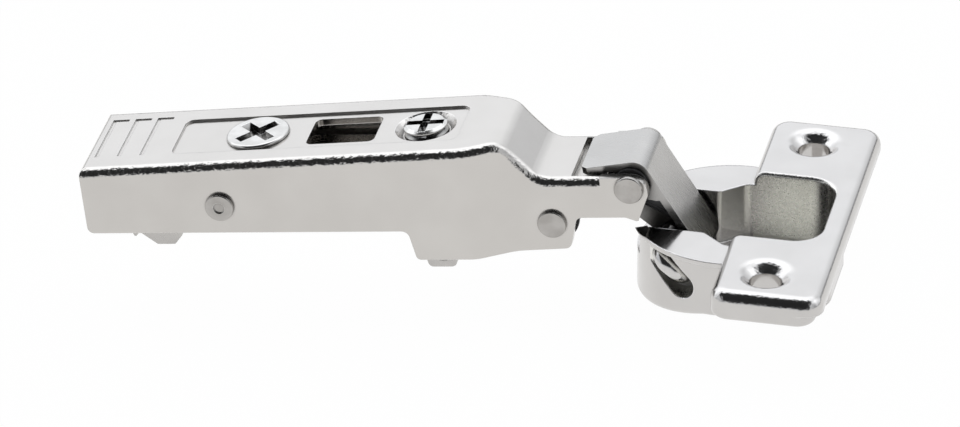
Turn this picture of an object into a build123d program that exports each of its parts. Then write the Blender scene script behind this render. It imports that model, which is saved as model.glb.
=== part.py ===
"""Concealed clip hinge with a die-cast door boss, shown fully open.

Millimetres. X runs along the arm from its rear end to the cup, Y along the pivots, Z up and away
from the panel that carries the arm. The sizes are drawn from the arm's lower edge, Z = 0, and its
middle plane, Y = 0; the parts are then moved so that the carrier's seat is the origin.
"""
import os
from math import asin, atan2, cos, degrees, radians, sin, tan

from build123d import *

os.makedirs("parts", exist_ok=True)

# Fits
RUN = 0.05             # radial clearance of a pin that turns in its hole
PRESS = 0.02           # radial clearance of a riveted or pressed pin
HEAD_GAP = 0.05        # play under a rivet head or a cam head
SIDE_GAP = 0.3         # play between the arm and the carrier, each side

# Arm: pressed channel that draws in to a stepped neck with two ears
ARM_WIDTH = 17.3
NECK_WIDTH = 13.4
ARM_SHEET = 1.25
ARM_FOLD_R = 1.3
ARM_REAR = -0.8
DRAW_IN_START = 53.2
DRAW_IN_END = 58.4
DRAW_IN_R = 6.0
TOP_REAR_Z = 9.55
STEP_TOP = (57.6, 12.27)
STEP_FOOT = (62.6, 6.6)
STEP_R = 3.2
LOBE_START = 44.1
LOBE_Z = -4.38
LOBE_FRONT = (65.9, -3.8)
NECK_BOTTOM_Z = 0.85
NECK_WEB_END = 71.2
NOTCH_START = 66.9
EAR_TOP_Z = 6.85
EAR_END = 77.4
EAR_R = 2.2

# Pivots in the arm, X and Z
FRONT_PIVOT = (74.9, 5.16)
LINK_PIVOT = (63.75, 0.05)
REAR_PIVOT = (18.4, 4.05)
RIVET_D = 3.0
RIVET_HEAD_D = 3.95
RIVET_HEAD_T = 0.6
PIN_DIMPLE_D = 1.6
PIN_DIMPLE_DEPTH = 0.25

# Arm top, measured along X
GRIP_X = 0.75
GRIP_PITCH = 3.2
GRIP_LENGTH = 10.3
GRIP_Y = 0.5
GRIP_HOOK = 1.8
GRIP_WIDTH = 0.55
GRIP_DEPTH = 0.18
PANEL_START = 11.3
PANEL_END = 51.6
PANEL_WIDTH = 9.7
PANEL_DEPTH = 0.3
CAM_X = 22.6
CAM_HEAD_D = 8.7
CAM_HEAD_T = 0.5
CAM_SHANK_D = 6.0
CAM_THROW = 3.0
CAM_DISC_D = 9.0
CAM_DISC_T = 1.0
CAM_STUB_D = 2.6
CAM_FLOOR_T = 0.5
STUB_PLAY = 0.4        # the stub's swing is not quite in step with the slide
WINDOW_START = 30.0
WINDOW_END = 39.6
WINDOW_WIDTH = 7.1
SCREW_X = 46.2
SCREW_D = 6.0
SCREW_PITCH = 1.0
SCREW_RISE = 0.6
SCREW_LENGTH = 4.15
SCREW_NECK_D = 3.4
SCREW_NECK_L = 3.4
SCREW_FOOT_D = 5.0
SCREW_FOOT_T = 0.8
SCREW_SLOT_L = 5.2
SCREW_SLOT_W = 1.1
SCREW_SLOT_DEPTH = 1.1
DISH_D = 8.5
DISH_DEPTH = 1.0
COLLAR_D = 8.4
COLLAR_L = 1.5
RECESS_D = 7.0
RECESS_W = 1.5
RECESS_DEPTH = 1.1

# Adjustment travel, half the full range
DEPTH_TRAVEL = 2.3

# Carrier: inner channel that clips to the mounting plate
CARRIER_SHEET = 1.2
CARRIER_START = 6.6
CARRIER_END = 51.4
CARRIER_TOP_Z = 6.9
CARRIER_BOTTOM_Z = 0.35
SEAT_X = 27.0          # place on the underside of the carrier's web that is the origin of every part
SEAT_START = 25.6      # coined seat around the window, proud of the rest of the web's underside
SEAT_END = 41.0
SEAT_WIDTH = 9.6
SEAT_PROUD = 0.25
TAB_START = 45.3
TAB_END = 50.5
TAB_Z = -6.3
HOOK_PIN = ((TAB_START + TAB_END) / 2 + 0.2, TAB_Z + 2.2)
HOOK_PIN_D = 2.5

# Release latch
LATCH_PIVOT = (10.6, 3.3)
LATCH_PIN_D = 2.4
LATCH_GAP = 0.3
LATCH_SHEET = 1.2
LATCH_HOOK_Z = -3.4
LATCH_REAR_X = 1.2
LATCH_WIRE = 0.6
LATCH_COIL_R = 1.75
LATCH_COIL_Y = 1.4
LATCH_TURNS = 3
LATCH_LEG_FRONT = 2.6
LATCH_LEG_REAR = 6.8
LATCH_LEG_SLOT = 2.6

# Door boss: cup, rim and plate, in a frame on the rim's plane
BOSS_PLACE = (85.55, 0, -2.22)
BOSS_TILT = 7.25
CUP_X = 1.6            # middle of the round cup
RIM_R = 13.5
RIM_T = 0.7
CUP_R = 12.9
CUP_DEPTH = 8.8
CUP_FRONT_DEPTH = 11.4
CUP_FLOOR = 0.7
CUP_EDGE_R = 1.0
SCOOP_R = 9.0          # hollow that lowers the front of the rim
SCOOP_DEPTH = 0.8
PLATE_LEFT = 2.7
PLATE_RIGHT = 17.8
PLATE_LENGTH = 49.4
PLATE_TOP = 2.0
FLANGE_T = 2.4
PAD_T = 4.1
PAD_INSET = 1.0
PAD_LENGTH = 15.2
PAD_EDGE_R = 0.8
PLATE_EDGE_R = 1.7
PLATE_CORNER_R = 2.6
SCREW_SPACING = 36.4
DOOR_HOLE_X = 9.3
DOOR_HOLE_D = 4.3
DOOR_SINK_D = 7.2
DOOR_SINK_DEPTH = 1.2
DOOR_LIP_R = 2.2
MOUTH_START = 2.3
MOUTH_WIDTH = 17.0
MOUTH_END = 14.6
MOUTH_CORNER_R = 4.0
MOUTH_WALL = 1.3
MOUTH_EDGE_R = 0.5
THROAT_WIDTH = 11.4
FRONT_OPENING_Z = -4.6

# Axles in the boss, X and Z of the boss frame, one bent wire
AXLE_FRONT = (-6.51, -2.25)
AXLE_DEEP = (-3.34, -4.89)
AXLE_D = 2.4
AXLE_BEND_R = 1.6
AXLE_BEND_Y = -9.9
AXLE_END_Y = 8.6
AXLE_RECESS_R = 1.9
AXLE_RECESS_Y = -8.5

# Links
STRAP_SHEET = 1.0
STRAP_WIDTH = 9.6
STRAP_TAIL_X = 68.1
STRAP_TAIL_RISE = 2.12  # outer face of the strap's tail above the front pivot
STRAP_KNEE = (1.7, 3.25)
STRAP_BEND_R = 1.3
STRAP_CHEEK_R = 2.35
STRAP_EYE_R = 2.1
INNER_WIDTH = 4.0
INNER_EYE_R = 1.75
SLOT_BACK = 2.05       # travel of the link rivet in the slotted rear eye, to the rear
SLOT_AHEAD = 0.93      # and to the front
SLOT_LIFT = 0.47       # middle of its travel across the slot
SLOT_PLAY = 0.58       # half that travel, with its clearance
INNER_REAR_WALL = 0.85
LUG_AHEAD = 6.0        # cross lug that the closing springs press on
LUG_RISE = 1.4
LUG_D = 1.6
LUG_SHORT = 0.95       # lug ends this far inside the neck's walls

# Sleeves, washers and closing springs
BUSH_D = 4.4
BUSH_GAP = 0.25        # play at both ends of a sleeve
BUSH_FLANGE = 1.2
BUSH_FLANGE_T = 0.5
WASHER_D = 4.6
WASHER_GAP = 0.1
SPRING_WIRE = 0.75
SPRING_COIL_R = 2.8
SPRING_GAP = 0.1
SPRING_LEG = 7.0
SPRING_SHORT_LEG = 4.3
SPRING_START = -40     # degrees
SPRING_TURN = 670      # degrees

HALF_ARM = ARM_WIDTH / 2
HALF_INSIDE = HALF_ARM - ARM_SHEET
HALF_NECK = NECK_WIDTH / 2
NECK_INSIDE = HALF_NECK - ARM_SHEET
HALF_CARRIER = HALF_INSIDE - SIDE_GAP
CARRIER_INSIDE = HALF_CARRIER - CARRIER_SHEET
BUSH_IN_Y = INNER_WIDTH / 2 + BUSH_GAP
BUSH_OUT_Y = NECK_INSIDE - BUSH_GAP
SLOPE = atan2(STEP_TOP[1] - TOP_REAR_Z, STEP_TOP[0] - ARM_REAR)


def top_z(x):
    return TOP_REAR_Z + (x - ARM_REAR) * (STEP_TOP[1] - TOP_REAR_Z) / (STEP_TOP[0] - ARM_REAR)


def on_top(x, y=0.0):
    """Place on the arm's sloping top, Z along its normal."""
    along = (cos(SLOPE), 0, sin(SLOPE))
    normal = (-sin(SLOPE), 0, cos(SLOPE))
    return Plane((x, y, top_z(x)), x_dir=along, z_dir=normal).location


def plan(*corners):
    """Closed outline in X and Y; a third number rounds that corner with an arc of that radius."""
    edges = []
    ends = []
    for n, corner in enumerate(corners):
        here = Vector(corner[0], corner[1])
        back = (Vector(*corners[n - 1][:2]) - here).normalized()
        ahead = (Vector(*corners[(n + 1) % len(corners)][:2]) - here).normalized()
        if len(corner) == 2:
            ends.append((here, here))
            continue
        half = radians(back.get_angle(ahead)) / 2
        cut = corner[2] / tan(half)
        middle = here + (back + ahead).normalized() * (corner[2] / sin(half) - corner[2])
        ends.append((here + back * cut, here + ahead * cut))
        edges.append(ThreePointArc(here + back * cut, middle, here + ahead * cut))
    for n, (_, leave) in enumerate(ends):
        arrive = ends[(n + 1) % len(ends)][0]
        if (arrive - leave).length > 1e-6:
            edges.append(Line(leave, arrive))
    return make_face(edges)


def outline(*corners):
    """The same in X and Z, for a side view."""
    return Plane.XZ * plan(*corners)


def across(face, width, y=0.0):
    """Side outline made into a slab of that width about the plane Y = y."""
    return Pos(0, y, 0) * extrude(face, width / 2, both=True)


def rod(at, d, y0, y1):
    """Round rod along Y through the point X, Z."""
    return Pos(at[0], (y0 + y1) / 2, at[1]) * Rot(90, 0, 0) * Cylinder(d / 2, y1 - y0)


def headed_pin(at, reach):
    """Cross pin headed over both walls of the arm, which it leaves at Y = reach."""
    pin = rod(at, RIVET_D, -reach, reach)
    head = rod(at, RIVET_HEAD_D, reach, reach + RIVET_HEAD_T)
    rim = head.edges().filter_by(GeomType.CIRCLE).sort_by(Axis.Y)[-1]
    head = fillet(rim, 0.2)
    return pin + head + mirror(head, about=Plane.XZ)


def bent_strip(start, knee, end, thickness, inside_r):
    """Side outline of a strip with one bend; the points lie on its outer face."""
    way_in = (Vector(*knee) - Vector(*start)).normalized()
    way_out = (Vector(*end) - Vector(*knee)).normalized()
    first = Vector(way_in.Y, -way_in.X) * thickness
    second = Vector(way_out.Y, -way_out.X) * thickness
    share = 1 + first.dot(second) / thickness ** 2
    inner = Vector(*knee) + (first + second) / share
    return outline(start, (*knee, inside_r + thickness), end, (end[0] + second.X, end[1] + second.Y),
                   (inner.X, inner.Y, inside_r), (start[0] + first.X, start[1] + first.Y))


def leg_spring(at, wire, coil_r, y0, y1, start, turn, leg_in, leg_out):
    """Round wire coil along Y with two legs that leave it straight on; start and turn in degrees."""
    pitch = (y1 - y0) * 360 / turn
    coil = Pos(at[0], y0, at[1]) * Rot(-90, 0, 0) * Rot(0, 0, start) * Helix(pitch, y1 - y0, coil_r)
    first = Line((coil @ 0) - (coil % 0) * leg_in, coil @ 0)
    last = Line(coil @ 1, (coil @ 1) + (coil % 1) * leg_out)
    path = Wire([first.edge(), coil.edge(), last.edge()])
    return sweep(Plane(first @ 0, z_dir=first % 0) * Circle(wire / 2), path=path)


def cross_recess(size, width, depth):
    """Tapering cross-shaped driver recess, to be cut from a top face at Z = 0."""
    cut = Part()
    for turn in (45, 135):
        blade = outline((-size / 2, 0.2), (size / 2, 0.2), (size / 2 - 0.3, 0), (size * 0.36, -depth),
                        (-size * 0.36, -depth), (-size / 2 + 0.3, 0))
        cut += Rot(0, 0, turn) * across(blade, width)
    return cut


# Hinge arm
def channel_plan(half, neck):
    """Plan of the channel, straight at first and drawn in to the neck."""
    rear = ARM_REAR - 3
    front = NECK_WEB_END + 3
    return plan(
        (rear, -half), (DRAW_IN_START, -half, DRAW_IN_R), (DRAW_IN_END, -neck, DRAW_IN_R), (front, -neck),
        (front, neck), (DRAW_IN_END, neck, DRAW_IN_R), (DRAW_IN_START, half, DRAW_IN_R), (rear, half))


def channel(rear, front, low, sink, half, neck):
    """Solid below the arm's top, its outline sunk by that depth and its plan given by the half widths."""
    fall = atan2(STEP_TOP[1] - STEP_FOOT[1], STEP_FOOT[0] - STEP_TOP[0])
    brow = sink * tan((fall + SLOPE) / 2)
    foot = sink * tan(fall / 2)
    side = outline(
        (rear, low), (rear, top_z(rear) - sink), (STEP_TOP[0] - brow, STEP_TOP[1] - sink, STEP_R - sink / 2),
        (STEP_FOOT[0] - foot, STEP_FOOT[1] - sink, STEP_R), (front, STEP_FOOT[1] - sink), (front, low))
    return across(side, 3 * half) & Pos(0, 0, low) * extrude(channel_plan(half, neck), 2 * ARM_WIDTH)


def hinge_arm():
    low = 2 * LOBE_Z
    body = channel(ARM_REAR, NECK_WEB_END, low, 0, HALF_ARM, HALF_NECK)
    folds = [e for e in body.edges()
             if e.center().Z > STEP_FOOT[1] - 0.2 and abs(e.center().Y) > HALF_NECK - 0.1]
    body = fillet(folds, ARM_FOLD_R)
    body &= across(outline(
        (ARM_REAR, 0, 0.9), (ARM_REAR, TOP_REAR_Z, 0.8), STEP_TOP, (NECK_WEB_END, STEP_TOP[1]),
        (NECK_WEB_END, NECK_BOTTOM_Z), (LOBE_FRONT[0] + 1.3, NECK_BOTTOM_Z, 0.9), (*LOBE_FRONT, 1.1),
        (DRAW_IN_START, LOBE_Z, 8.0), (LOBE_START + 0.8, LOBE_Z, 0.7), (LOBE_START, 0, 1.1)), 2 * ARM_WIDTH)
    body -= channel(ARM_REAR - 1, NECK_WEB_END + 1, low - 1, ARM_SHEET, HALF_INSIDE, NECK_INSIDE)
    root = NECK_WEB_END - 0.2
    ear = outline(
        (root, EAR_TOP_Z), (EAR_END, EAR_TOP_Z, EAR_R), (EAR_END, FRONT_PIVOT[1] - 1, 0.8),
        (FRONT_PIVOT[0] + 0.7, NECK_BOTTOM_Z - 0.65, 0.3), (FRONT_PIVOT[0] - 1, NECK_BOTTOM_Z, 1.0),
        (root, NECK_BOTTOM_Z))
    for side in (-1, 1):
        body += across(ear, ARM_SHEET, side * (HALF_NECK - ARM_SHEET / 2))
    collar = Cylinder(COLLAR_D / 2, COLLAR_L + 0.2)
    body += on_top(SCREW_X) * Pos(0, 0, -ARM_SHEET - COLLAR_L / 2 + 0.1) * collar
    notch = EAR_END - NOTCH_START
    body -= Pos(NOTCH_START + notch / 2, 0, EAR_TOP_Z) * Box(notch, 2 * NECK_INSIDE, 2 * ARM_SHEET)
    body -= arm_top_cuts()
    for at in (FRONT_PIVOT, LINK_PIVOT):
        body -= rod(at, RIVET_D + 2 * PRESS, -ARM_WIDTH, ARM_WIDTH)
    return body - rod(REAR_PIVOT, RIVET_D + 2 * RUN, -ARM_WIDTH, ARM_WIDTH)


def arm_top_cuts():
    """Grip lines, sunk panel, cam hole, window and dished screw hole."""
    middle = (PANEL_START + PANEL_END) / 2
    panel = RectangleRounded(PANEL_END - PANEL_START, PANEL_WIDTH, 1.2)
    cuts = on_top(middle) * Pos(0, 0, -PANEL_DEPTH) * extrude(panel, 1)
    deep = 2 * GRIP_DEPTH
    for n in range(3):
        x = GRIP_X + n * GRIP_PITCH
        cuts += on_top(x, GRIP_Y) * Box(GRIP_WIDTH, GRIP_LENGTH, deep)
        hook = on_top(x + GRIP_HOOK / 2, GRIP_Y + GRIP_LENGTH / 2)
        cuts += hook * Box(GRIP_HOOK + GRIP_WIDTH, GRIP_WIDTH, deep)
    cuts += on_top(CAM_X) * Cylinder(CAM_SHANK_D / 2 + RUN, 8)
    cuts += on_top(CAM_X) * Pos(0, 0, -PANEL_DEPTH + 0.5) * Cylinder(CAM_HEAD_D / 2 + 0.25, 1)
    window = RectangleRounded(WINDOW_END - WINDOW_START, WINDOW_WIDTH, 0.9)
    cuts += on_top((WINDOW_START + WINDOW_END) / 2) * Pos(0, 0, -3) * extrude(window, 6)
    dish = Cone(SCREW_D / 2 + 0.3, DISH_D / 2, DISH_DEPTH)
    cuts += on_top(SCREW_X) * Pos(0, 0, -PANEL_DEPTH - DISH_DEPTH / 2) * dish
    return cuts + on_top(SCREW_X) * Cylinder(SCREW_D / 2 + RUN, 12)


# Rear pin, on which the arm tilts; its heads have a turned dimple
def rear_pin():
    reach = HALF_ARM + HEAD_GAP
    pin = headed_pin(REAR_PIVOT, reach)
    face = reach + RIVET_HEAD_T
    dimple = rod(REAR_PIVOT, PIN_DIMPLE_D, face - PIN_DIMPLE_DEPTH, face + 1)
    return pin - dimple - mirror(dimple, about=Plane.XZ)


# Clip carrier
def clip_carrier():
    side = outline(
        (CARRIER_START, CARRIER_BOTTOM_Z, 1.5), (CARRIER_START, CARRIER_TOP_Z), (CARRIER_END, CARRIER_TOP_Z),
        (CARRIER_END, CARRIER_BOTTOM_Z, 0.8), (TAB_END + 0.4, CARRIER_BOTTOM_Z - 0.6, 0.3),
        (TAB_END - 0.7, TAB_Z, 0.8), (TAB_START + 0.7, TAB_Z, 0.8), (TAB_START - 0.5, CARRIER_BOTTOM_Z, 0.8))
    body = across(side, 2 * HALF_CARRIER)
    folds = [e for e in body.edges().filter_by(Axis.X) if e.center().Z > CARRIER_TOP_Z - 0.1]
    body = fillet(folds, 1.0)
    under = CARRIER_TOP_Z - CARRIER_SHEET
    length = 2 * (CARRIER_END - CARRIER_START)
    hollow = under + SEAT_PROUD - 2 * TAB_Z
    body -= Pos(SEAT_X, 0, under + SEAT_PROUD - hollow / 2) * Box(length, 2 * CARRIER_INSIDE, hollow)
    seat_mid = Pos((SEAT_START + SEAT_END) / 2, 0, under + SEAT_PROUD)
    body += seat_mid * Box(SEAT_END - SEAT_START, SEAT_WIDTH, 2 * SEAT_PROUD)
    web_mid = CARRIER_TOP_Z - CARRIER_SHEET / 2
    stub_slot = CAM_STUB_D + 2 * STUB_PLAY
    body -= Pos(CAM_X, CAM_THROW - 0.5, web_mid) * Box(stub_slot, CAM_STUB_D + 2.0, 3)
    window = RectangleRounded(WINDOW_END - WINDOW_START, WINDOW_WIDTH, 0.9)
    body -= Pos((WINDOW_START + WINDOW_END) / 2, 0, web_mid - 2) * extrude(window, 4)
    foot_x = SCREW_X + (top_z(SCREW_X) - CARRIER_TOP_Z) * sin(SLOPE)
    neck_slot = SlotCenterToCenter(2 * DEPTH_TRAVEL + 0.4, SCREW_NECK_D + 0.6)
    body -= Pos(foot_x, 0, web_mid - 2) * extrude(neck_slot, 4)
    pin_slot = Plane.XZ * Pos(*REAR_PIVOT) * SlotCenterToCenter(2 * DEPTH_TRAVEL + 0.2, RIVET_D + 2 * RUN)
    body -= across(pin_slot, ARM_WIDTH)
    leg_slot = Box(2 * LATCH_LEG_SLOT, 3 * LATCH_WIRE, 3)
    body -= Pos(CARRIER_START, LATCH_COIL_Y + LATCH_WIRE / 2, web_mid) * leg_slot
    body -= rod(LATCH_PIVOT, LATCH_PIN_D + 2 * PRESS, -ARM_WIDTH, ARM_WIDTH)
    return body - rod(HOOK_PIN, HOOK_PIN_D + 2 * PRESS, -ARM_WIDTH, ARM_WIDTH)


# Depth cam and its eccentric disc
def depth_cam():
    seat = -PANEL_DEPTH + HEAD_GAP
    head = Pos(0, 0, seat + CAM_HEAD_T / 2) * Cylinder(CAM_HEAD_D / 2, CAM_HEAD_T)
    rim = head.edges().filter_by(GeomType.CIRCLE).sort_by(Axis.Z)[-1]
    cam = fillet(rim, 0.35)
    low = -ARM_SHEET - HEAD_GAP - CAM_DISC_T
    cam += Pos(0, 0, (seat + low) / 2 + 0.05) * Cylinder(CAM_SHANK_D / 2, seat - low + 0.1)
    cam -= Pos(0, 0, seat + CAM_HEAD_T) * cross_recess(RECESS_D, RECESS_W, RECESS_DEPTH)
    return on_top(CAM_X) * cam


def cam_disc():
    high = -ARM_SHEET - HEAD_GAP
    disc = Pos(0, 0, high - CAM_DISC_T / 2) * Cylinder(CAM_DISC_D / 2, CAM_DISC_T)
    disc -= Pos(0, 0, high) * Cylinder(CAM_SHANK_D / 2 + PRESS, 4)
    floor = high - CAM_DISC_T
    disc += Pos(0, 0, floor - CAM_FLOOR_T / 2) * Cylinder(CAM_DISC_D / 2, CAM_FLOOR_T)
    stub_end = CARRIER_TOP_Z - CARRIER_SHEET - top_z(CAM_X)
    length = floor - 0.2 - stub_end
    disc += Pos(0, CAM_THROW, stub_end + length / 2) * Cylinder(CAM_STUB_D / 2, length)
    return on_top(CAM_X) * disc


# Side screw
def side_screw():
    top = SCREW_RISE - PANEL_DEPTH
    depth = 0.45
    turns = int(SCREW_LENGTH / SCREW_PITCH)
    points = [(0, top), (SCREW_D / 2 - depth, top)]
    for n in range(turns):
        z = top - n * SCREW_PITCH
        points += [(SCREW_D / 2, z - 0.3 * SCREW_PITCH), (SCREW_D / 2, z - 0.5 * SCREW_PITCH),
                   (SCREW_D / 2 - depth, z - 0.9 * SCREW_PITCH)]
    low = top - SCREW_LENGTH
    neck_end = low - SCREW_NECK_L
    foot_end = neck_end - SCREW_FOOT_T
    points += [(SCREW_D / 2 - depth, low), (SCREW_NECK_D / 2, low), (SCREW_NECK_D / 2, neck_end),
               (SCREW_FOOT_D / 2, neck_end), (SCREW_FOOT_D / 2, foot_end), (0, foot_end)]
    screw = revolve(Plane.XZ * make_face(Polyline(*points, close=True)), Axis.Z)
    screw -= Pos(0, 0, top) * Box(SCREW_SLOT_L, SCREW_SLOT_W, 2 * SCREW_SLOT_DEPTH)
    screw -= Pos(0, 0, top) * Box(SCREW_SLOT_W, SCREW_SLOT_L, 2 * SCREW_SLOT_DEPTH)
    return on_top(SCREW_X) * screw


# Release latch, its pin and spring
def release_latch():
    px, pz = LATCH_PIVOT
    half = CARRIER_INSIDE - LATCH_GAP
    hook = LATCH_HOOK_Z
    cheek = outline(
        (LATCH_REAR_X, 2.2, 0.5), (LATCH_REAR_X, 4.2, 0.5), (px, pz + 1.8, 1.6), (px + 2.3, pz + 0.5, 1.3),
        (px + 0.9, hook + 1.4, 0.5), (px - 0.3, hook, 0.5), (px - 2.8, hook, 0.6),
        (px - 5.1, hook + 1.9, 0.3), (px - 5.8, hook + 1.1, 0.2), (px - 7.4, 1.0, 0.8))
    body = Part()
    for side in (-1, 1):
        body += across(cheek, LATCH_SHEET, side * (half - LATCH_SHEET / 2))
    pad = outline((LATCH_REAR_X, 3.0), (LATCH_REAR_X, 4.2, 0.5), (LATCH_REAR_X + 4.2, 4.5),
                  (LATCH_REAR_X + 4.2, 3.3))
    body += across(pad, 2 * half)
    return body - rod(LATCH_PIVOT, LATCH_PIN_D + 2 * RUN, -ARM_WIDTH, ARM_WIDTH)


def latch_pin():
    return rod(LATCH_PIVOT, LATCH_PIN_D, -HALF_CARRIER, HALF_CARRIER)


def latch_spring():
    turn = 360 * LATCH_TURNS
    coil = leg_spring(LATCH_PIVOT, LATCH_WIRE, LATCH_COIL_R, -LATCH_COIL_Y, LATCH_COIL_Y, 90, turn,
                      LATCH_LEG_FRONT, LATCH_LEG_REAR)
    return mirror(coil, about=Plane((0, 0, LATCH_PIVOT[1])))


def hook_pin():
    return rod(HOOK_PIN, HOOK_PIN_D, -HALF_CARRIER, HALF_CARRIER)


# Door boss: cup, rim and plate cast in one
BOSS = Plane(BOSS_PLACE, x_dir=(cos(radians(BOSS_TILT)), 0, -sin(radians(BOSS_TILT))),
             z_dir=(sin(radians(BOSS_TILT)), 0, cos(radians(BOSS_TILT)))).location


def boss_point(at):
    """Place of a boss-frame point X, Z in the arm's frame."""
    a = radians(BOSS_TILT)
    return (BOSS_PLACE[0] + at[0] * cos(a) + at[1] * sin(a), BOSS_PLACE[2] - at[0] * sin(a) + at[1] * cos(a))


def door_boss():
    body = boss_cup() + boss_plate()
    body += extrude(offset(mouth_plan(), MOUTH_WALL), -CUP_DEPTH)
    body -= boss_pocket()
    lip = [e for e in body.edges() if abs(e.center().Z - PLATE_TOP) < 0.01
           and e.center().X < MOUTH_END + 0.1 and abs(e.center().Y) < MOUTH_WIDTH / 2 + 0.1]
    body = fillet(lip, MOUTH_EDGE_R)
    body -= axle_seat()
    for side in (-1, 1):
        body -= Pos(DOOR_HOLE_X, side * SCREW_SPACING / 2, PLATE_TOP) * door_hole()
    return BOSS * body


def boss_cup():
    """Round cup, deepest at the front, with a thin rim that is hollowed where the links come out."""
    fall = (CUP_FRONT_DEPTH - CUP_DEPTH) / (CUP_R - CUP_X)
    reach = 2 * CUP_R
    side = outline((-reach, 0), (reach, 0), (reach, -CUP_DEPTH), (0, -CUP_DEPTH, 4.0),
                   (-reach, -CUP_DEPTH - fall * reach))
    cup = Pos(CUP_X, 0, -CUP_FRONT_DEPTH) * Cylinder(CUP_R, 2 * CUP_FRONT_DEPTH) & across(side, 2 * reach)
    bottom = [e for e in cup.edges().filter_by(Axis.Y, reverse=True) if e.center().Z < -CUP_DEPTH + 0.1]
    cup = fillet(bottom, CUP_EDGE_R)
    cup += Pos(CUP_X, 0, -RIM_T / 2) * Cylinder(RIM_R, RIM_T)
    return cup - rod((CUP_X - RIM_R - 0.6, SCOOP_R - SCOOP_DEPTH), 2 * SCOOP_R, -reach, reach)


def boss_plate():
    """Flange with rounded top edges over two thick pads that sit on the door."""
    width = PLATE_RIGHT - PLATE_LEFT
    flange = extrude(RectangleRounded(width, PLATE_LENGTH, PLATE_CORNER_R), -FLANGE_T)
    plate = fillet(flange.faces().sort_by(Axis.Z)[-1].edges(), PLATE_EDGE_R)
    start = PLATE_EDGE_R + 0.1
    pad = extrude(RectangleRounded(width - PAD_INSET, PAD_LENGTH, PLATE_CORNER_R), -(PAD_T - start))
    pad = fillet(pad.faces().sort_by(Axis.Z)[0].edges(), PAD_EDGE_R)
    for side in (-1, 1):
        plate += Pos(-PAD_INSET / 2, side * (PLATE_LENGTH - PAD_LENGTH) / 2, -start) * pad
    return Pos((PLATE_LEFT + PLATE_RIGHT) / 2, 0, PLATE_TOP) * plate


def door_hole():
    """Screw hole with a shallow countersink whose lip is well rounded."""
    lip = DOOR_SINK_D / 2
    hole = DOOR_HOLE_D / 2
    side = plan((0, 3), (lip + 3, 3), (lip + 3, 0), (lip, 0, DOOR_LIP_R), (hole, -DOOR_SINK_DEPTH),
                (hole, -2 * PAD_T), (0, -2 * PAD_T))
    return revolve(Plane.XZ * side, Axis.Z)


def mouth_plan():
    half = MOUTH_WIDTH / 2
    return plan((MOUTH_START, -half), (MOUTH_END, -half, MOUTH_CORNER_R), (MOUTH_END, half, MOUTH_CORNER_R),
                (MOUTH_START, half))


def boss_pocket():
    """Mouth through the plate, throat between the axle walls and opening in the front of the cup."""
    wide = MOUTH_WIDTH / 2
    half = THROAT_WIDTH / 2
    rear = MOUTH_START + 0.1
    front = CUP_X - CUP_R + 1.7
    throat = plan(
        (rear, -wide), (rear, wide), (rear - 0.8, wide - 0.2, 1.2), (rear - 3.8, half, 1.2), (front, half),
        (front, -half), (rear - 3.8, -half, 1.2), (rear - 0.8, -wide + 0.2, 1.2))
    inside = Pos(CUP_X, 0, 0) * Cylinder(CUP_R - 0.9, 6 * CUP_DEPTH)
    floor = Pos(0, 0, CUP_FLOOR - CUP_DEPTH)
    pocket = floor * extrude(throat, 2 * CUP_DEPTH) & inside
    pocket += floor * extrude(mouth_plan(), 2 * CUP_DEPTH)
    gate = 2 * CUP_DEPTH
    front_cut = Box(8, THROAT_WIDTH - 1.2, gate)
    return pocket + Pos(front - 1.3, 0, FRONT_OPENING_Z + gate / 2) * front_cut


def axle_seat():
    """Holes for both axles and the recess for the bend of the wire."""
    cuts = Part()
    for at in (AXLE_FRONT, AXLE_DEEP):
        cuts += rod(at, AXLE_D + 2 * PRESS, -20, AXLE_END_Y + 0.3)
    run = (AXLE_DEEP[0] - AXLE_FRONT[0], AXLE_DEEP[1] - AXLE_FRONT[1])
    length = (run[0] ** 2 + run[1] ** 2) ** 0.5
    middle = ((AXLE_FRONT[0] + AXLE_DEEP[0]) / 2, (AXLE_FRONT[1] + AXLE_DEEP[1]) / 2)
    turn = Rot(0, 0, degrees(atan2(run[1], run[0])))
    slot = Pos(*middle) * turn * SlotCenterToCenter(length, 2 * AXLE_RECESS_R)
    recess = Pos(0, AXLE_RECESS_Y, 0) * extrude(Plane.XZ * slot, 12)
    keep = Pos(0, -20, -RIM_T - 10) * Box(60, 60, 20)
    return cuts + (recess & keep)


def axle_hairpin():
    a = (AXLE_FRONT[0], AXLE_END_Y, AXLE_FRONT[1])
    b = (AXLE_FRONT[0], AXLE_BEND_Y, AXLE_FRONT[1])
    c = (AXLE_DEEP[0], AXLE_BEND_Y, AXLE_DEEP[1])
    d = (AXLE_DEEP[0], AXLE_END_Y, AXLE_DEEP[1])
    path = FilletPolyline(a, b, c, d, radius=AXLE_BEND_R)
    wire = sweep(Plane(path @ 0, z_dir=path % 0) * Circle(AXLE_D / 2), path=path)
    return BOSS * wire


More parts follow.
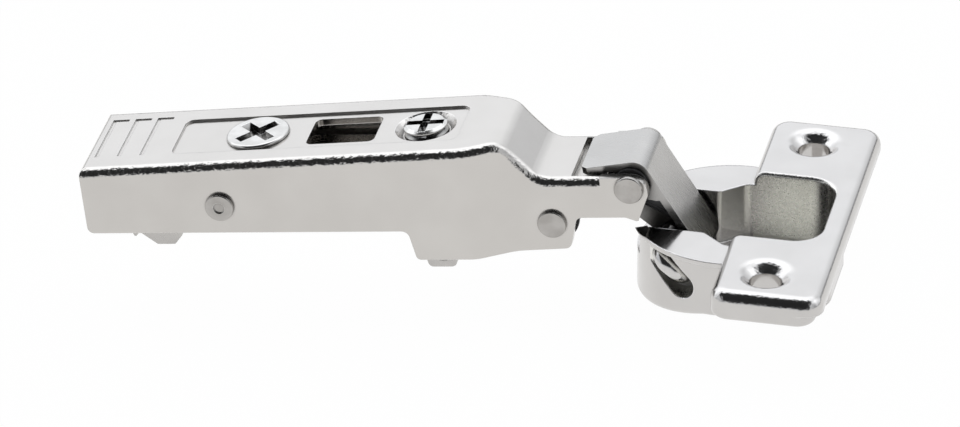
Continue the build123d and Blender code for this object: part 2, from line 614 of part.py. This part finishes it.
# Outer link: bent strap with cheeks about the front pivot and a rolled eye on the deep axle
def outer_link():
    fx, fz = FRONT_PIVOT
    dx, dz = boss_point(AXLE_DEEP)
    tail = (STRAP_TAIL_X, fz + STRAP_TAIL_RISE)
    knee = (fx + STRAP_KNEE[0], fz + STRAP_KNEE[1])
    reach = ((knee[0] - dx) ** 2 + (knee[1] - dz) ** 2) ** 0.5
    lean = atan2(dz - knee[1], dx - knee[0]) + asin(STRAP_EYE_R / reach)
    run = (reach ** 2 - STRAP_EYE_R ** 2) ** 0.5
    low = (knee[0] + run * cos(lean), knee[1] + run * sin(lean))
    skin = STRAP_SHEET
    strap = across(bent_strip(tail, knee, low, skin, STRAP_BEND_R), STRAP_WIDTH)
    for s in (-1, 1):
        strap -= Pos(STRAP_TAIL_X, s * STRAP_WIDTH / 2, tail[1]) * Rot(0, 0, 45) * Box(1.2, 1.2, 6)
    roll = rod((dx, dz), 2 * STRAP_EYE_R, -STRAP_WIDTH / 2, STRAP_WIDTH / 2)
    strap += roll
    for s in (-1, 1):
        cheek = outline((fx - STRAP_CHEEK_R, fz - 1.4, 1.0), (fx - STRAP_CHEEK_R, tail[1] - 0.3),
                        (knee[0] - 0.6, knee[1] - 0.6, 1.0), (fx + 4.3, fz - 2.6), (fx + 3.2, fz - 2.9, 0.4),
                        (fx + 0.8, fz - STRAP_CHEEK_R, 1.2))
        strap += across(cheek, skin, s * (STRAP_WIDTH - skin) / 2)
    strap -= rod((dx, dz), AXLE_D + 2 * RUN, -ARM_WIDTH, ARM_WIDTH)
    return strap - rod(FRONT_PIVOT, RIVET_D + 2 * RUN, -ARM_WIDTH, ARM_WIDTH)


# Inner link: arched bar from the slotted eye on the link rivet to the front axle
def inner_link():
    bx, bz = LINK_PIVOT
    cx, cz = boss_point(AXLE_FRONT)
    bar = outline(
        (bx - 2.4, bz + 2.2, 1.2), (bx + 2.0, bz + 4.0, 2.0), (bx + 7.0, bz + 3.2, 3.0),
        (cx + 0.4, cz + INNER_EYE_R, 0.6), (cx - INNER_EYE_R + 0.2, cz - 0.6, 0.4), (bx + 9.2, bz - 0.1, 2.0),
        (bx + 5.0, bz + 0.5, 2.0), (bx + 1.5, bz - 2.0, 1.0), (bx - 2.4, bz - 2.0, 1.0))
    link = across(bar, INNER_WIDTH)
    link += rod((cx, cz), 2 * INNER_EYE_R, -INNER_WIDTH / 2, INNER_WIDTH / 2)
    reach = NECK_INSIDE - LUG_SHORT
    link += rod((bx + LUG_AHEAD, bz + LUG_RISE), LUG_D, -reach, reach)
    slot_mid = Pos(bx + (SLOT_AHEAD - SLOT_BACK) / 2, bz + SLOT_LIFT)
    slot_d = RIVET_D + 2 * SLOT_PLAY
    travel = SLOT_BACK + SLOT_AHEAD
    eye = Plane.XZ * slot_mid * SlotCenterToCenter(travel, slot_d + 2 * INNER_REAR_WALL)
    link += across(eye, INNER_WIDTH)
    link -= across(Plane.XZ * slot_mid * SlotCenterToCenter(travel, slot_d), 2 * INNER_WIDTH)
    return link - rod((cx, cz), AXLE_D + 2 * RUN, -ARM_WIDTH, ARM_WIDTH)


# Sleeves on the link rivet, washers on the front rivet and the closing springs
def link_bush():
    sleeve = rod(LINK_PIVOT, BUSH_D, BUSH_IN_Y, BUSH_OUT_Y)
    flange = rod(LINK_PIVOT, BUSH_D + 2 * BUSH_FLANGE, BUSH_OUT_Y - BUSH_FLANGE_T, BUSH_OUT_Y)
    return sleeve + flange - rod(LINK_PIVOT, RIVET_D + 2 * PRESS, 0, ARM_WIDTH)


def strap_bush():
    ring = rod(FRONT_PIVOT, WASHER_D, STRAP_WIDTH / 2 + WASHER_GAP, NECK_INSIDE - WASHER_GAP)
    return ring - rod(FRONT_PIVOT, RIVET_D + 2 * PRESS, 0, ARM_WIDTH)


def closing_spring():
    room = SPRING_WIRE / 2 + SPRING_GAP
    inner = BUSH_IN_Y + room
    outer = BUSH_OUT_Y - BUSH_FLANGE_T - room
    return leg_spring(LINK_PIVOT, SPRING_WIRE, SPRING_COIL_R, inner, outer, SPRING_START, SPRING_TURN,
                      SPRING_SHORT_LEG, SPRING_LEG)


SOLIDS = {
    "hinge_arm": hinge_arm(),
    "clip_carrier": clip_carrier(),
    "rear_pin": rear_pin(),
    "depth_cam": depth_cam(),
    "cam_disc": cam_disc(),
    "side_screw": side_screw(),
    "release_latch": release_latch(),
    "latch_pin": latch_pin(),
    "latch_spring": latch_spring(),
    "hook_pin": hook_pin(),
    "front_rivet": headed_pin(FRONT_PIVOT, HALF_NECK),
    "link_rivet": headed_pin(LINK_PIVOT, HALF_NECK),
    "outer_link": outer_link(),
    "inner_link": inner_link(),
    "axle_hairpin": axle_hairpin(),
    "door_boss": door_boss(),
    "link_bush_far": link_bush(),
    "link_bush_near": mirror(link_bush(), about=Plane.XZ),
    "strap_bush_far": strap_bush(),
    "strap_bush_near": mirror(strap_bush(), about=Plane.XZ),
    "closing_spring_far": closing_spring(),
    "closing_spring_near": mirror(closing_spring(), about=Plane.XZ),
}

seat = Pos(-SEAT_X, 0, CARRIER_SHEET - CARRIER_TOP_Z)
for name, solid in SOLIDS.items():
    export_step(seat * solid, f"parts/{name}.step")
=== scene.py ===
"""Concealed clip hinge, fully open, as it lies on a photographer's table."""

import bpy
from mathutils import Matrix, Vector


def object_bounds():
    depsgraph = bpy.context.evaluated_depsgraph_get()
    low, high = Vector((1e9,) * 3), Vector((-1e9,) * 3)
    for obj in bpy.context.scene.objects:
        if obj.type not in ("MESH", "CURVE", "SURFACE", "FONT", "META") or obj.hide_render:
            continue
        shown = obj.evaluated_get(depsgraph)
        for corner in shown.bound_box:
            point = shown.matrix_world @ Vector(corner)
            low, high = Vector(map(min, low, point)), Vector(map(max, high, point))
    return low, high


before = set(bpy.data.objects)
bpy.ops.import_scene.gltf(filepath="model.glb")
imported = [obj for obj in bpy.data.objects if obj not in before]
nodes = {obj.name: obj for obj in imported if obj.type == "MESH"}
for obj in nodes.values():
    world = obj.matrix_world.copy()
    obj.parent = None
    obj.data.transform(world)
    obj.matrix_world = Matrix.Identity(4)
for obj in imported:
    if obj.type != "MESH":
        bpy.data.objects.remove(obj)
cad_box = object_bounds()


# Hinge arm: one blank of 1.25 mm steel strip, pierced and pressed into a stepped channel in a
# progressive die, then barrel plated with bright nickel. The plating copies the fine pebbled skin of
# the drawn strip, which is strongest where the sheet was stretched over the folds.
def plating_skin_and_shade_group():
    """Blotches and pebbled skin of a plated pressing, with painted shade in its recesses; rounds off its
    sheared edges.
    """
    group = bpy.data.node_groups.new("plating_skin_and_shade", "ShaderNodeTree")
    face = group.interface
    for label, kind, value in (
            ("Bright", "NodeSocketColor", (0.62, 0.60, 0.58, 1)),
            ("Dull", "NodeSocketColor", (0.5, 0.48, 0.46, 1)),
            ("Edge", "NodeSocketColor", (0.8, 0.79, 0.78, 1)),
            ("Blotch size", "NodeSocketFloat", 0.004),
            ("Pebble size", "NodeSocketFloat", 0.0004),
            ("Pebble height", "NodeSocketFloat", 0.2),
            ("Fold height", "NodeSocketFloat", 0.2),
            ("Grain", "NodeSocketVector", (1, 1, 1)),
            ("Smooth", "NodeSocketFloat", 0.2),
            ("Rough", "NodeSocketFloat", 0.3),
            ("Edge radius", "NodeSocketFloat", 0.0002),
            ("Recess reach", "NodeSocketFloat", 0.0012),
            ("Recess shade", "NodeSocketFloat", 0.25),
            ("Recess dull", "NodeSocketFloat", 0.0)):
        socket = face.new_socket(label, in_out="INPUT", socket_type=kind)
        socket.default_value = value
    face.new_socket("Color", in_out="OUTPUT", socket_type="NodeSocketColor")
    face.new_socket("Roughness", in_out="OUTPUT", socket_type="NodeSocketFloat")
    face.new_socket("Normal", in_out="OUTPUT", socket_type="NodeSocketVector")
    add = group.nodes.new
    link = group.links.new
    pebble_relief = 0.0003
    given = add("NodeGroupInput")
    result = add("NodeGroupOutput")
    place = add("ShaderNodeTexCoord")

    def noise(size_name, detail, where):
        per_metre = add("ShaderNodeMath")
        per_metre.operation = "DIVIDE"
        per_metre.inputs[0].default_value = 1.0
        link(given.outputs[size_name], per_metre.inputs[1])
        texture = add("ShaderNodeTexNoise")
        texture.inputs["Detail"].default_value = detail
        link(where, texture.inputs["Vector"])
        link(per_metre.outputs[0], texture.inputs["Scale"])
        return texture

    def mask(source, start, end):
        spread = add("ShaderNodeMapRange")
        spread.inputs["From Min"].default_value = start
        spread.inputs["From Max"].default_value = end
        link(source, spread.inputs["Value"])
        return spread

    # Blotches of the plating bath, and the pebbles, drawn out along the strip's grain.
    blotch = mask(noise("Blotch size", 4.0, place.outputs["Object"]).outputs["Fac"], 0.35, 0.65)
    drawn = add("ShaderNodeVectorMath")
    drawn.operation = "MULTIPLY"
    link(place.outputs["Object"], drawn.inputs[0])
    link(given.outputs["Grain"], drawn.inputs[1])
    pebble = noise("Pebble size", 2.0, drawn.outputs["Vector"])
    pebble.inputs["Roughness"].default_value = 0.45

    # Folds along the strip face neither up nor sideways: their pebbles stand higher.
    way = add("ShaderNodeVectorMath")
    way.operation = "ABSOLUTE"
    link(place.outputs["Normal"], way.inputs[0])
    sides = add("ShaderNodeSeparateXYZ")
    link(way.outputs["Vector"], sides.inputs[0])
    oblique = add("ShaderNodeMath")
    oblique.operation = "MULTIPLY"
    link(sides.outputs["Y"], oblique.inputs[0])
    link(sides.outputs["Z"], oblique.inputs[1])
    stretch = mask(oblique.outputs[0], 0.1, 0.35)
    link(given.outputs["Pebble height"], stretch.inputs["To Min"])
    link(given.outputs["Fold height"], stretch.inputs["To Max"])

    # Sheared edges are rolled over and burnished.
    rounded = add("ShaderNodeBevel")
    rounded.samples = 6
    link(given.outputs["Edge radius"], rounded.inputs["Radius"])
    flat = add("ShaderNodeNewGeometry")
    turned = add("ShaderNodeVectorMath")
    turned.operation = "DOT_PRODUCT"
    link(rounded.outputs["Normal"], turned.inputs[0])
    link(flat.outputs["Normal"], turned.inputs[1])
    edge = mask(turned.outputs["Value"], 0.995, 0.9)

    # Colour: the two tones of the bath, the edges, and painted shade in recesses, where ambient occlusion
    # darkens the colour down to the recess shade.
    tone = add("ShaderNodeMix")
    tone.data_type = "RGBA"
    link(blotch.outputs["Result"], tone.inputs["Factor"])
    link(given.outputs["Dull"], tone.inputs["A"])
    link(given.outputs["Bright"], tone.inputs["B"])
    worn = add("ShaderNodeMix")
    worn.data_type = "RGBA"
    link(edge.outputs["Result"], worn.inputs["Factor"])
    link(tone.outputs["Result"], worn.inputs["A"])
    link(given.outputs["Edge"], worn.inputs["B"])
    hollow = add("ShaderNodeAmbientOcclusion")
    hollow.samples = 8
    link(given.outputs["Recess reach"], hollow.inputs["Distance"])
    link(rounded.outputs["Normal"], hollow.inputs["Normal"])
    depth = mask(hollow.outputs["AO"], 0.25, 0.8)
    link(given.outputs["Recess shade"], depth.inputs["To Min"])
    shaded = add("ShaderNodeMix")
    shaded.data_type = "RGBA"
    shaded.blend_type = "MULTIPLY"
    shaded.inputs["Factor"].default_value = 1.0
    link(worn.outputs["Result"], shaded.inputs["A"])
    link(depth.outputs["Result"], shaded.inputs["B"])
    link(shaded.outputs["Result"], result.inputs["Color"])

    gloss = add("ShaderNodeMapRange")
    link(pebble.outputs["Fac"], gloss.inputs["Value"])
    link(given.outputs["Smooth"], gloss.inputs["To Min"])
    link(given.outputs["Rough"], gloss.inputs["To Max"])
    dull = mask(hollow.outputs["AO"], 0.8, 0.25)
    link(given.outputs["Recess dull"], dull.inputs["To Max"])
    matt = add("ShaderNodeMath")
    link(gloss.outputs["Result"], matt.inputs[0])
    link(dull.outputs["Result"], matt.inputs[1])
    link(matt.outputs[0], result.inputs["Roughness"])

    skin = add("ShaderNodeBump")
    skin.inputs["Distance"].default_value = pebble_relief
    link(stretch.outputs["Result"], skin.inputs["Strength"])
    link(pebble.outputs["Fac"], skin.inputs["Height"])
    link(rounded.outputs["Normal"], skin.inputs["Normal"])
    link(skin.outputs["Normal"], result.inputs["Normal"])
    return group


plating_skin_and_shade = plating_skin_and_shade_group()


def plated(name, **values):
    """Metal whose colour with painted recess shade, gloss and skin come from the plating group with its own
    values.
    """
    material = bpy.data.materials.new(name)
    material.use_nodes = True
    tree = material.node_tree
    shader = tree.nodes["Principled BSDF"]
    shader.inputs["Metallic"].default_value = 1.0
    skin = tree.nodes.new("ShaderNodeGroup")
    skin.node_tree = plating_skin_and_shade
    for label, value in values.items():
        skin.inputs[label.replace("_", " ").capitalize()].default_value = value
    tree.links.new(skin.outputs["Color"], shader.inputs["Base Color"])
    tree.links.new(skin.outputs["Roughness"], shader.inputs["Roughness"])
    tree.links.new(skin.outputs["Normal"], shader.inputs["Normal"])
    return material


def finish_nodes(material, *names):
    """Gives the named pieces this one finish."""
    for name in names:
        nodes[name].data.materials.clear()
        nodes[name].data.materials.append(material)


finish_nodes(plated(
    "arm_nickel", bright=(0.6, 0.58, 0.555, 1), dull=(0.57, 0.55, 0.525, 1), edge=(0.8, 0.79, 0.77, 1),
    blotch_size=0.009, pebble_size=0.0005, pebble_height=0.008, fold_height=0.42, smooth=0.14, rough=0.22,
    recess_shade=0.75, recess_dull=0.6, edge_radius=0.00012), "hinge_arm")


# Rivets and the rear pin: headed from steel wire, set through the arm and plated with it. Their heads
# are a little brighter than the walls and show fine turning rings.
finish_nodes(plated(
    "rivet_nickel", bright=(0.46, 0.445, 0.425, 1), dull=(0.38, 0.365, 0.345, 1), edge=(0.7, 0.69, 0.67, 1),
    blotch_size=0.002, pebble_size=0.0003, pebble_height=0.005, fold_height=0.015, smooth=0.16, rough=0.26,
    edge_radius=0.00012),
    "rear_pin", "front_rivet", "link_rivet", "latch_pin", "hook_pin")


# Depth cam with its disc, and the side screw: turned and cold-headed steel with bright plating and
# cross recesses for a driver.
# Painted shade: the short recess reach and low recess shade darken the colour inside the cross recesses.
finish_nodes(plated(
    "screw_nickel", bright=(0.68, 0.67, 0.65, 1), dull=(0.58, 0.57, 0.55, 1), edge=(0.88, 0.87, 0.86, 1),
    blotch_size=0.002, pebble_size=0.0003, pebble_height=0.005, fold_height=0.015, smooth=0.1, rough=0.2,
    recess_reach=0.002, recess_shade=0.06, edge_radius=0.0001),
    "depth_cam", "cam_disc", "side_screw")


# Clip carrier and release latch: smaller pressings inside the arm, plated in the same barrel. Their colour
# is painted a little darker than the arm's, as painted shade, because they lie in its shade.
finish_nodes(plated(
    "carrier_nickel", bright=(0.56, 0.545, 0.52, 1), dull=(0.48, 0.465, 0.45, 1), edge=(0.7, 0.69, 0.67, 1),
    blotch_size=0.005, pebble_size=0.0005, pebble_height=0.01, fold_height=0.05, smooth=0.2, rough=0.32,
    edge_radius=0.00015),
    "clip_carrier", "release_latch")


# Links: the strap is bent from rolled strip and keeps its fine lengthwise grain; the bar below it is
# a thicker pressing of the same steel.
# Painted shade: the long recess reach darkens the colour of the strap's lower part, next to the cup.
finish_nodes(plated(
    "link_nickel", bright=(0.5, 0.49, 0.475, 1), dull=(0.46, 0.45, 0.435, 1), edge=(0.8, 0.79, 0.78, 1),
    blotch_size=0.006, pebble_size=0.0003, pebble_height=0.004, fold_height=0.004, grain=(0.06, 1, 0.06),
    smooth=0.24, rough=0.32, recess_reach=0.02, recess_shade=0.05, edge_radius=0.00012),
    "outer_link", "inner_link")


# Door boss: zinc die casting, tumbled and nickel plated. The mouth and the pocket of
# the axle wire keep the casting's grainy, rougher skin, and are painted lighter to lift their shade.
boss_nickel = plated(
    "boss_nickel", edge=(0.84, 0.83, 0.82, 1), blotch_size=0.006, pebble_size=0.0005, recess_shade=0.8,
    recess_dull=0.5, edge_radius=0.0003)
boss_tree = boss_nickel.node_tree
boss_add = boss_tree.nodes.new
boss_link = boss_tree.links.new
boss_place = boss_add("ShaderNodeTexCoord")
lip_width = 0.0004


def boss_step(kind, operation, *sockets):
    """One math step on the sockets given."""
    step = boss_add(kind)
    step.operation = operation
    for place, socket in enumerate(sockets):
        boss_link(socket, step.inputs[place])
    return step


def boss_range(source, start, end):
    """Mask that goes from 0 to 1 between the two values."""
    step = boss_add("ShaderNodeMapRange")
    step.inputs["From Min"].default_value = start
    step.inputs["From Max"].default_value = end
    boss_link(source, step.inputs["Value"])
    return step.outputs["Result"]


def cast_hollow(middle, half_size):
    """Mask of the walls in a box that look at its middle, where the tumbling stones don't reach and painted
    light lifts the shade.
    """
    from_middle = boss_step("ShaderNodeVectorMath", "SUBTRACT", boss_place.outputs["Object"])
    from_middle.inputs[1].default_value = middle
    share = boss_step("ShaderNodeVectorMath", "DIVIDE", from_middle.outputs["Vector"])
    share.inputs[1].default_value = half_size
    sides = boss_add("ShaderNodeSeparateXYZ")
    far = boss_step("ShaderNodeVectorMath", "ABSOLUTE", share.outputs["Vector"])
    boss_link(far.outputs["Vector"], sides.inputs[0])
    across = boss_step("ShaderNodeMath", "MAXIMUM", sides.outputs["X"], sides.outputs["Y"])
    furthest = boss_step("ShaderNodeMath", "MAXIMUM", across.outputs[0], sides.outputs["Z"])
    facing = boss_step(
        "ShaderNodeVectorMath", "DOT_PRODUCT", from_middle.outputs["Vector"], boss_place.outputs["Normal"])
    facing_out = boss_range(facing.outputs["Value"], -lip_width, lip_width)
    outside = boss_step("ShaderNodeMath", "ADD", furthest.outputs[0], facing_out)
    return boss_range(outside.outputs[0], 1.02, 1.0)


mouth_skin_and_light = cast_hollow((0.067, 0, -0.012), (0.0066, 0.0087, 0.02))
pocket_skin_and_light = cast_hollow((0.0532, -0.0109, -0.0108), (0.0036, 0.0026, 0.0037))
cast_skin_and_painted_light = boss_step("ShaderNodeMath", "MAXIMUM", mouth_skin_and_light, pocket_skin_and_light)
boss_skin = next(node for node in boss_tree.nodes if node.type == "GROUP")
# Cast walls: a rougher, grainier skin, and a brighter colour that is painted light lifting the shade in the
# mouth and pocket.
for label, kind, polished, cast in (
        ("Pebble height", "FLOAT", 0.005, 0.008),
        ("Fold height", "FLOAT", 0.2, 0.1),
        ("Smooth", "FLOAT", 0.12, 0.2),
        ("Rough", "FLOAT", 0.2, 0.34),
        ("Bright", "RGBA", (0.6, 0.585, 0.57, 1), (0.84, 0.83, 0.79, 1)),
        ("Dull", "RGBA", (0.57, 0.555, 0.54, 1), (0.78, 0.77, 0.73, 1))):
    choice = boss_add("ShaderNodeMix")
    choice.data_type = kind
    choice.inputs["A"].default_value = polished
    choice.inputs["B"].default_value = cast
    boss_link(cast_skin_and_painted_light.outputs[0], choice.inputs["Factor"])
    boss_link(choice.outputs["Result"], boss_skin.inputs[label])
finish_nodes(boss_nickel, "door_boss")


# Axle wire: one length of hard drawn steel wire bent into a hairpin, pressed into the boss from the
# near side; both of its legs are pivots.
finish_nodes(plated(
    "axle_steel", bright=(0.66, 0.65, 0.64, 1), dull=(0.56, 0.55, 0.54, 1), edge=(0.8, 0.79, 0.78, 1),
    blotch_size=0.002, pebble_size=0.0003, pebble_height=0.003, fold_height=0.006, smooth=0.12, rough=0.2,
    edge_radius=0.0001),
    "axle_hairpin")


# Closing springs and the latch spring: patented spring wire, drawn bright and oiled, darker than the
# plated pieces.
finish_nodes(plated(
    "spring_wire", bright=(0.42, 0.41, 0.4, 1), dull=(0.32, 0.31, 0.3, 1), edge=(0.5, 0.49, 0.48, 1),
    blotch_size=0.003, pebble_size=0.0002, pebble_height=0.003, fold_height=0.006, smooth=0.25, rough=0.35,
    edge_radius=0.00005),
    "closing_spring_far", "closing_spring_near", "latch_spring")


# Bushes: two flanged sleeves and two thin washers, turned from acetal rod. They are slipped on the
# rivets before these are headed, and keep the links from rubbing on the arm. Their colour is painted near
# black as painted shadow, so that where they show above the ear they read as the shade gap under the strap.
bush_shadow_acetal = bpy.data.materials.new("bush_acetal_painted_shadow")
bush_shadow_acetal.use_nodes = True
bush_shader = bush_shadow_acetal.node_tree.nodes["Principled BSDF"]
bush_skin = bush_shadow_acetal.node_tree.nodes.new("ShaderNodeGroup")
bush_skin.node_tree = plating_skin_and_shade
# Painted shadow: near-black colours stand in for the shade gap between the strap and the ear.
for label, value in (("Bright", (0.016, 0.016, 0.017, 1)), ("Dull", (0.012, 0.012, 0.013, 1)),
                     ("Edge", (0.03, 0.03, 0.031, 1)), ("Pebble height", 0.005), ("Fold height", 0.005),
                     ("Smooth", 0.4), ("Rough", 0.55)):
    bush_skin.inputs[label].default_value = value
for label, target in (("Color", "Base Color"), ("Roughness", "Roughness"), ("Normal", "Normal")):
    bush_shadow_acetal.node_tree.links.new(bush_skin.outputs[label], bush_shader.inputs[target])
finish_nodes(bush_shadow_acetal, "link_bush_far", "link_bush_near", "strap_bush_far", "strap_bush_near")


# Table: a wide sheet of matt white board under the hinge. It is lit to paper white, and keeps a faint
# shadow below the cup and the arm.
bpy.ops.object.select_all(action="DESELECT")
board_width = 8.0
board_gap = 0.0002
bpy.ops.mesh.primitive_plane_add(size=board_width, location=(0, 0, cad_box[0][2] - board_gap))
table = bpy.context.object
table.name = "table_board"
board = bpy.data.materials.new("white_board")
board.use_nodes = True
board_tree = board.node_tree
board_shader = board_tree.nodes["Principled BSDF"]
board_shader.inputs["Base Color"].default_value = (0.9, 0.9, 0.9, 1)
board_shader.inputs["Roughness"].default_value = 0.9
board_shader.inputs["Specular IOR Level"].default_value = 0.1
paper_white = 0.985
glow = board_tree.nodes.new("ShaderNodeEmission")
glow.inputs["Strength"].default_value = 1.0
rays = board_tree.nodes.new("ShaderNodeLightPath")
seen = board_tree.nodes.new("ShaderNodeMath")
seen.operation = "MAXIMUM"
board_tree.links.new(rays.outputs["Is Camera Ray"], seen.inputs[0])
board_tree.links.new(rays.outputs["Is Glossy Ray"], seen.inputs[1])
lift = board_tree.nodes.new("ShaderNodeMath")
lift.operation = "MULTIPLY"
lift.inputs[1].default_value = paper_white
board_tree.links.new(seen.outputs[0], lift.inputs[0])
lit = board_tree.nodes.new("ShaderNodeMixShader")
board_tree.links.new(lift.outputs[0], lit.inputs["Fac"])
board_tree.links.new(board_shader.outputs["BSDF"], lit.inputs[1])
board_tree.links.new(glow.outputs["Emission"], lit.inputs[2])
board_tree.links.new(lit.outputs["Shader"], board_tree.nodes["Material Output"].inputs["Surface"])
table.data.materials.append(board)


# Studio: a white tent over the table, brightest overhead, with one narrow dark flag hung above the
# camera. The flag gives the near folds their dark line.
world = bpy.context.scene.world or bpy.data.worlds.new("studio_tent")
bpy.context.scene.world = world
world.use_nodes = True
tent = world.node_tree
tent.nodes.clear()
sky = tent.nodes.new("ShaderNodeTexCoord")
parts = tent.nodes.new("ShaderNodeSeparateXYZ")
tent.links.new(sky.outputs["Generated"], parts.inputs[0])
tilt = tent.nodes.new("ShaderNodeMath")
tilt.operation = "ARCTAN2"
tent.links.new(parts.outputs["Z"], tilt.inputs[0])
tent.links.new(parts.outputs["Y"], tilt.inputs[1])
half_turn = tent.nodes.new("ShaderNodeMapRange")
half_turn.inputs["From Max"].default_value = 3.14159
tent.links.new(tilt.outputs[0], half_turn.inputs["Value"])


def tent_ramp(source, *stops):
    """Brightness of the tent's cloth along one direction, from its stops."""
    ramp = tent.nodes.new("ShaderNodeValToRGB")
    tent.links.new(source, ramp.inputs["Fac"])
    elements = ramp.color_ramp.elements
    elements[0].position, elements[1].position = stops[0][0], stops[-1][0]
    for position, _ in stops[1:-1]:
        elements.new(position)
    for element, (_, level) in zip(elements, stops):
        element.color = (level, level, level, 1)
    return ramp.outputs["Color"]


canvas_level = tent_ramp(
    half_turn.outputs["Result"], (0.0, 0.1), (0.02, 0.16), (0.06, 0.68), (0.2, 0.69), (0.3, 1.0),
    (0.46, 1.0), (0.54, 0.5), (1.0, 0.45))
flag_rows = tent_ramp(
    half_turn.outputs["Result"], (0.47, 0.0), (0.51, 1.0), (0.94, 1.0), (0.98, 0.0))
flag_place = tent.nodes.new("ShaderNodeMapRange")
flag_place.inputs["From Min"].default_value = -1.0
flag_place.inputs["From Max"].default_value = 1.0
tent.links.new(parts.outputs["X"], flag_place.inputs["Value"])
flag_columns = tent_ramp(
    flag_place.outputs["Result"], (0.12, 0.0), (0.2, 1.0), (0.78, 1.0), (0.86, 0.0))
seam_level = tent_ramp(
    flag_place.outputs["Result"], (0.0, 0.8), (0.2, 1.0), (0.62, 1.0), (0.76, 0.72), (0.88, 1.0), (1.0, 0.5))
seamed = tent.nodes.new("ShaderNodeMix")
seamed.data_type = "RGBA"
seamed.blend_type = "MULTIPLY"
seamed.inputs["Factor"].default_value = 1.0
tent.links.new(canvas_level, seamed.inputs["A"])
tent.links.new(seam_level, seamed.inputs["B"])
flag = tent.nodes.new("ShaderNodeMath")
flag.operation = "MULTIPLY"
tent.links.new(flag_rows, flag.inputs[0])
tent.links.new(flag_columns, flag.inputs[1])
flagged = tent.nodes.new("ShaderNodeMix")
flagged.data_type = "RGBA"
tent.links.new(flag.outputs[0], flagged.inputs["Factor"])
tent.links.new(seamed.outputs["Result"], flagged.inputs["A"])
flagged.inputs["B"].default_value = (0.015, 0.015, 0.015, 1)
canvas = tent.nodes.new("ShaderNodeBackground")
canvas.inputs["Strength"].default_value = 1.9
cloth = tent.nodes.new("ShaderNodeMix")
cloth.data_type = "RGBA"
cloth.blend_type = "MULTIPLY"
cloth.inputs["Factor"].default_value = 1.0
cloth.inputs["B"].default_value = (0.965, 0.99, 1.03, 1)
tent.links.new(flagged.outputs["Result"], cloth.inputs["A"])
tent.links.new(cloth.outputs["Result"], canvas.inputs["Color"])
paper = tent.nodes.new("ShaderNodeBackground")
paper.inputs["Color"].default_value = (1, 1, 1, 1)
sky_rays = tent.nodes.new("ShaderNodeLightPath")
whole = tent.nodes.new("ShaderNodeMixShader")
tent.links.new(sky_rays.outputs["Is Camera Ray"], whole.inputs["Fac"])
tent.links.new(canvas.outputs[0], whole.inputs[1])
tent.links.new(paper.outputs[0], whole.inputs[2])
out = tent.nodes.new("ShaderNodeOutputWorld")
tent.links.new(whole.outputs[0], out.inputs["Surface"])


# Camera: a long lens on a stand in front of the near wall and a little to the right, looking down on the
# hinge. Its axes and place are in the frame of the part.
lens_right = (0.96960141, 0.2113248, -0.12334888)
lens_up = (0.00618174, 0.48278663, 0.8757162)
lens_back = (0.24461174, -0.84985816, 0.46680424)
lens_place = (0.29004743, -0.92079680, 0.49801016)
bpy.ops.object.camera_add()
camera = bpy.context.object
camera.matrix_world = Matrix([
    (lens_right[k], lens_up[k], lens_back[k], lens_place[k]) for k in range(3)] + [(0, 0, 0, 1)])
camera.data.lens = 300
camera.data.sensor_width = 36
camera.data.sensor_fit = "HORIZONTAL"
camera.data.clip_end = 50
bpy.context.scene.camera = camera
bpy.context.scene.view_settings.view_transform = "Standard"
